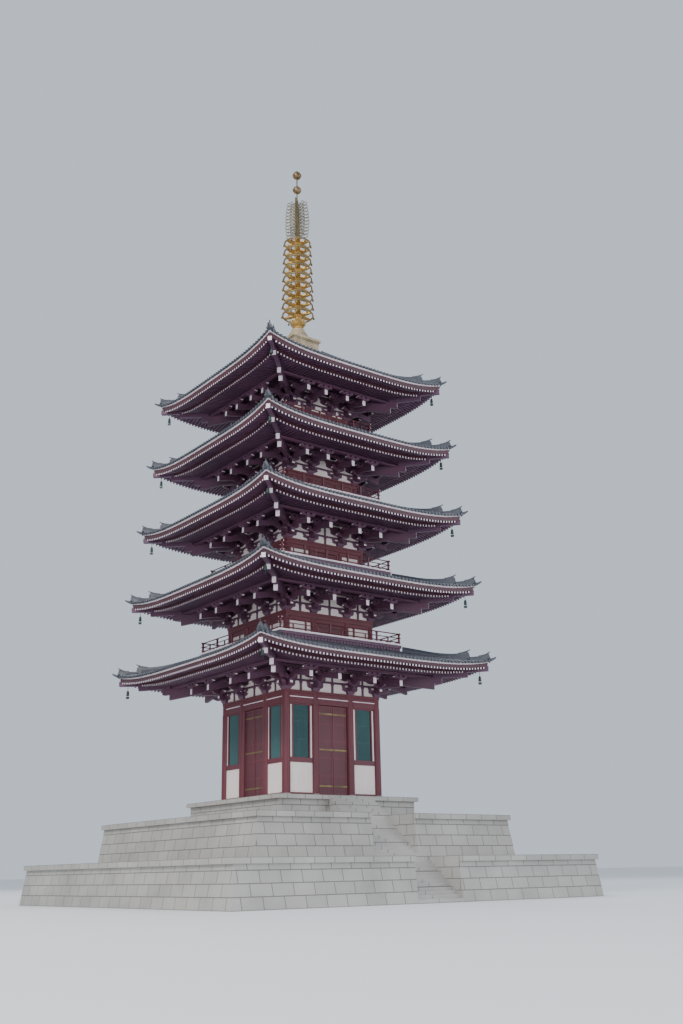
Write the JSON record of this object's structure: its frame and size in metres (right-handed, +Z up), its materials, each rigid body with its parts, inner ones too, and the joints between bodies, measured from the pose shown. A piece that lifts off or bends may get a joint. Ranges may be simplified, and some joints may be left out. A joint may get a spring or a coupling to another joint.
{
  "type": "scale model of a tiered pagoda",
  "caption": "Tiered pagoda with tiled upturned roofs, bracketed eaves, railed balconies, hinged ground doors and a ringed gilt finial, modelled at half size.",
  "frame": {"origin": "centre of the terrace's underside, on the tower's centre line", "axes": "+Z up, -Y towards the front with the steps, +X to the right seen from the front"},
  "size_m": [13, 13, 26.66],
  "materials": {
    "stone": "dressed granite, matt",
    "red_timber": "dark vermilion paint with white beam ends and plaster panels, satin",
    "tile": "blue-grey barrel tile, semi-matt",
    "gilt_metal": "gilded, weathered"
  },
  "bodies": {
    "pagoda": {"lower_terrace": "stone", "upper_podium": "stone", "lower_steps": "stone", "upper_steps": "stone", "ground_floor": "red_timber", "ground_corner_front_left": "red_timber", "ground_corner_front_right": "red_timber", "ground_corner_back_right": "red_timber", "ground_corner_back_left": "red_timber", "head_frame_1": "red_timber", "brackets_1": "red_timber", "eaves_1": "red_timber", "roof_1": "tile", "balcony_2": "red_timber", "walls_2": "red_timber", "brackets_2": "red_timber", "eaves_2": "red_timber", "roof_2": "tile", "balcony_3": "red_timber", "walls_3": "red_timber", "brackets_3": "red_timber", "eaves_3": "red_timber", "roof_3": "tile", "balcony_4": "red_timber", "walls_4": "red_timber", "brackets_4": "red_timber", "eaves_4": "red_timber", "roof_4": "tile", "balcony_5": "red_timber", "walls_5": "red_timber", "brackets_5": "red_timber", "eaves_5": "red_timber", "roof_5": "tile", "finial_box": "gilt_metal", "finial_rings": "gilt_metal", "finial_flame": "gilt_metal", "finial_jewels": "gilt_metal"},
    "door_front_left": {"door_front_left": "red_timber"},
    "door_front_right": {"door_front_right": "red_timber"},
    "door_right_left": {"door_right_left": "red_timber"},
    "door_right_right": {"door_right_right": "red_timber"},
    "door_back_left": {"door_back_left": "red_timber"},
    "door_back_right": {"door_back_right": "red_timber"},
    "door_left_left": {"door_left_left": "red_timber"},
    "door_left_right": {"door_left_right": "red_timber"}
  },
  "joints": [
    {"name": "front_left_hinge", "type": "hinge", "parent": "pagoda", "child": "door_front_left", "pos_m": [-0.5175, -1.745, 4.4], "axis": [0, 0, -1], "range_deg": [0, 90]},
    {"name": "front_right_hinge", "type": "hinge", "parent": "pagoda", "child": "door_front_right", "pos_m": [0.5175, -1.745, 4.4], "axis": [0, 0, 1], "range_deg": [0, 90]},
    {"name": "right_left_hinge", "type": "hinge", "parent": "pagoda", "child": "door_right_left", "pos_m": [1.745, -0.5175, 4.4], "axis": [0, 0, -1], "range_deg": [0, 90]},
    {"name": "right_right_hinge", "type": "hinge", "parent": "pagoda", "child": "door_right_right", "pos_m": [1.745, 0.5175, 4.4], "axis": [0, 0, 1], "range_deg": [0, 90]},
    {"name": "back_left_hinge", "type": "hinge", "parent": "pagoda", "child": "door_back_left", "pos_m": [0.5175, 1.745, 4.4], "axis": [0, 0, -1], "range_deg": [0, 90]},
    {"name": "back_right_hinge", "type": "hinge", "parent": "pagoda", "child": "door_back_right", "pos_m": [-0.5175, 1.745, 4.4], "axis": [0, 0, 1], "range_deg": [0, 90]},
    {"name": "left_left_hinge", "type": "hinge", "parent": "pagoda", "child": "door_left_left", "pos_m": [-1.745, 0.5175, 4.4], "axis": [0, 0, -1], "range_deg": [0, 90]},
    {"name": "left_right_hinge", "type": "hinge", "parent": "pagoda", "child": "door_left_right", "pos_m": [-1.745, -0.5175, 4.4], "axis": [0, 0, 1], "range_deg": [0, 90]}
  ]
}
